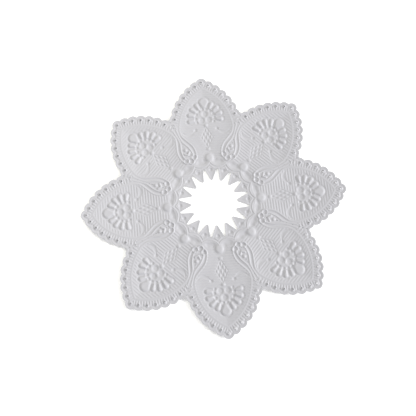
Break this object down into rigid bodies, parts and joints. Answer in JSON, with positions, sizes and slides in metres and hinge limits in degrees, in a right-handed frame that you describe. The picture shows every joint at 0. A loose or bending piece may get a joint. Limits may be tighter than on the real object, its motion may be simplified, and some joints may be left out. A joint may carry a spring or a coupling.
{
  "type": "lace paper bouquet collar",
  "caption": "Flat embossed lace-paper collar for a bouquet: a ring with scalloped outer leaves and pointed inner teeth that fold on creases.",
  "frame": {"origin": "centre of the toothed opening, on the sheet's underside where it lies on a table", "axes": "+Z out of the embossed face, +X along the axis of leaf 1; the other leaves follow every 45 degrees, turning from +X to +Y"},
  "size_m": [0.1996, 0.1996, 0.0019],
  "materials": {
    "lace_paper": "matt white embossed paper"
  },
  "bodies": {
    "collar": {"collar_web": "lace_paper"},
    "leaf_1": {"leaf_1": "lace_paper"},
    "leaf_2": {"leaf_2": "lace_paper"},
    "leaf_3": {"leaf_3": "lace_paper"},
    "leaf_4": {"leaf_4": "lace_paper"},
    "leaf_5": {"leaf_5": "lace_paper"},
    "leaf_6": {"leaf_6": "lace_paper"},
    "leaf_7": {"leaf_7": "lace_paper"},
    "leaf_8": {"leaf_8": "lace_paper"},
    "tooth_01": {"tooth_01": "lace_paper"},
    "tooth_02": {"tooth_02": "lace_paper"},
    "tooth_03": {"tooth_03": "lace_paper"},
    "tooth_04": {"tooth_04": "lace_paper"},
    "tooth_05": {"tooth_05": "lace_paper"},
    "tooth_06": {"tooth_06": "lace_paper"},
    "tooth_07": {"tooth_07": "lace_paper"},
    "tooth_08": {"tooth_08": "lace_paper"},
    "tooth_09": {"tooth_09": "lace_paper"},
    "tooth_10": {"tooth_10": "lace_paper"},
    "tooth_11": {"tooth_11": "lace_paper"},
    "tooth_12": {"tooth_12": "lace_paper"},
    "tooth_13": {"tooth_13": "lace_paper"},
    "tooth_14": {"tooth_14": "lace_paper"},
    "tooth_15": {"tooth_15": "lace_paper"},
    "tooth_16": {"tooth_16": "lace_paper"}
  },
  "joints": [
    {"name": "leaf_1_crease", "type": "hinge", "parent": "collar", "child": "leaf_1", "pos_m": [0.06791, 0, 0.00025], "axis": [0, -1, 0], "range_deg": [-25, 60]},
    {"name": "leaf_2_crease", "type": "hinge", "parent": "collar", "child": "leaf_2", "pos_m": [0.04802, 0.04802, 0.00025], "axis": [0.7071, -0.7071, 0], "range_deg": [-25, 60]},
    {"name": "leaf_3_crease", "type": "hinge", "parent": "collar", "child": "leaf_3", "pos_m": [0, 0.06791, 0.00025], "axis": [1, 0, 0], "range_deg": [-25, 60]},
    {"name": "leaf_4_crease", "type": "hinge", "parent": "collar", "child": "leaf_4", "pos_m": [-0.04802, 0.04802, 0.00025], "axis": [0.7071, 0.7071, 0], "range_deg": [-25, 60]},
    {"name": "leaf_5_crease", "type": "hinge", "parent": "collar", "child": "leaf_5", "pos_m": [-0.06791, 0, 0.00025], "axis": [0, 1, 0], "range_deg": [-25, 60]},
    {"name": "leaf_6_crease", "type": "hinge", "parent": "collar", "child": "leaf_6", "pos_m": [-0.04802, -0.04802, 0.00025], "axis": [-0.7071, 0.7071, 0], "range_deg": [-25, 60]},
    {"name": "leaf_7_crease", "type": "hinge", "parent": "collar", "child": "leaf_7", "pos_m": [0, -0.06791, 0.00025], "axis": [-1, 0, 0], "range_deg": [-25, 60]},
    {"name": "leaf_8_crease", "type": "hinge", "parent": "collar", "child": "leaf_8", "pos_m": [0.04802, -0.04802, 0.00025], "axis": [-0.7071, -0.7071, 0], "range_deg": [-25, 60]},
    {"name": "tooth_01_crease", "type": "hinge", "parent": "collar", "child": "tooth_01", "pos_m": [0.02545, 0, 0.00025], "axis": [0, 1, 0], "range_deg": [-80, 80]},
    {"name": "tooth_02_crease", "type": "hinge", "parent": "collar", "child": "tooth_02", "pos_m": [0.02351, 0.00974, 0.00025], "axis": [-0.3827, 0.9239, 0], "range_deg": [-80, 80]},
    {"name": "tooth_03_crease", "type": "hinge", "parent": "collar", "child": "tooth_03", "pos_m": [0.018, 0.018, 0.00025], "axis": [-0.7071, 0.7071, 0], "range_deg": [-80, 80]},
    {"name": "tooth_04_crease", "type": "hinge", "parent": "collar", "child": "tooth_04", "pos_m": [0.00974, 0.02351, 0.00025], "axis": [-0.9239, 0.3827, 0], "range_deg": [-80, 80]},
    {"name": "tooth_05_crease", "type": "hinge", "parent": "collar", "child": "tooth_05", "pos_m": [0, 0.02545, 0.00025], "axis": [-1, 0, 0], "range_deg": [-80, 80]},
    {"name": "tooth_06_crease", "type": "hinge", "parent": "collar", "child": "tooth_06", "pos_m": [-0.00974, 0.02351, 0.00025], "axis": [-0.9239, -0.3827, 0], "range_deg": [-80, 80]},
    {"name": "tooth_07_crease", "type": "hinge", "parent": "collar", "child": "tooth_07", "pos_m": [-0.018, 0.018, 0.00025], "axis": [-0.7071, -0.7071, 0], "range_deg": [-80, 80]},
    {"name": "tooth_08_crease", "type": "hinge", "parent": "collar", "child": "tooth_08", "pos_m": [-0.02351, 0.00974, 0.00025], "axis": [-0.3827, -0.9239, 0], "range_deg": [-80, 80]},
    {"name": "tooth_09_crease", "type": "hinge", "parent": "collar", "child": "tooth_09", "pos_m": [-0.02545, 0, 0.00025], "axis": [0, -1, 0], "range_deg": [-80, 80]},
    {"name": "tooth_10_crease", "type": "hinge", "parent": "collar", "child": "tooth_10", "pos_m": [-0.02351, -0.00974, 0.00025], "axis": [0.3827, -0.9239, 0], "range_deg": [-80, 80]},
    {"name": "tooth_11_crease", "type": "hinge", "parent": "collar", "child": "tooth_11", "pos_m": [-0.018, -0.018, 0.00025], "axis": [0.7071, -0.7071, 0], "range_deg": [-80, 80]},
    {"name": "tooth_12_crease", "type": "hinge", "parent": "collar", "child": "tooth_12", "pos_m": [-0.00974, -0.02351, 0.00025], "axis": [0.9239, -0.3827, 0], "range_deg": [-80, 80]},
    {"name": "tooth_13_crease", "type": "hinge", "parent": "collar", "child": "tooth_13", "pos_m": [0, -0.02545, 0.00025], "axis": [1, 0, 0], "range_deg": [-80, 80]},
    {"name": "tooth_14_crease", "type": "hinge", "parent": "collar", "child": "tooth_14", "pos_m": [0.00974, -0.02351, 0.00025], "axis": [0.9239, 0.3827, 0], "range_deg": [-80, 80]},
    {"name": "tooth_15_crease", "type": "hinge", "parent": "collar", "child": "tooth_15", "pos_m": [0.018, -0.018, 0.00025], "axis": [0.7071, 0.7071, 0], "range_deg": [-80, 80]},
    {"name": "tooth_16_crease", "type": "hinge", "parent": "collar", "child": "tooth_16", "pos_m": [0.02351, -0.00974, 0.00025], "axis": [0.3827, 0.9239, 0], "range_deg": [-80, 80]}
  ],
  "couplings": [
    {"joint": "tooth_02_crease", "follows": "tooth_01_crease", "ratio": 1},
    {"joint": "tooth_03_crease", "follows": "tooth_01_crease", "ratio": 1},
    {"joint": "tooth_04_crease", "follows": "tooth_01_crease", "ratio": 1},
    {"joint": "tooth_05_crease", "follows": "tooth_01_crease", "ratio": 1},
    {"joint": "tooth_06_crease", "follows": "tooth_01_crease", "ratio": 1},
    {"joint": "tooth_07_crease", "follows": "tooth_01_crease", "ratio": 1},
    {"joint": "tooth_08_crease", "follows": "tooth_01_crease", "ratio": 1},
    {"joint": "tooth_09_crease", "follows": "tooth_01_crease", "ratio": 1},
    {"joint": "tooth_10_crease", "follows": "tooth_01_crease", "ratio": 1},
    {"joint": "tooth_11_crease", "follows": "tooth_01_crease", "ratio": 1},
    {"joint": "tooth_12_crease", "follows": "tooth_01_crease", "ratio": 1},
    {"joint": "tooth_13_crease", "follows": "tooth_01_crease", "ratio": 1},
    {"joint": "tooth_14_crease", "follows": "tooth_01_crease", "ratio": 1},
    {"joint": "tooth_15_crease", "follows": "tooth_01_crease", "ratio": 1},
    {"joint": "tooth_16_crease", "follows": "tooth_01_crease", "ratio": 1}
  ]
}
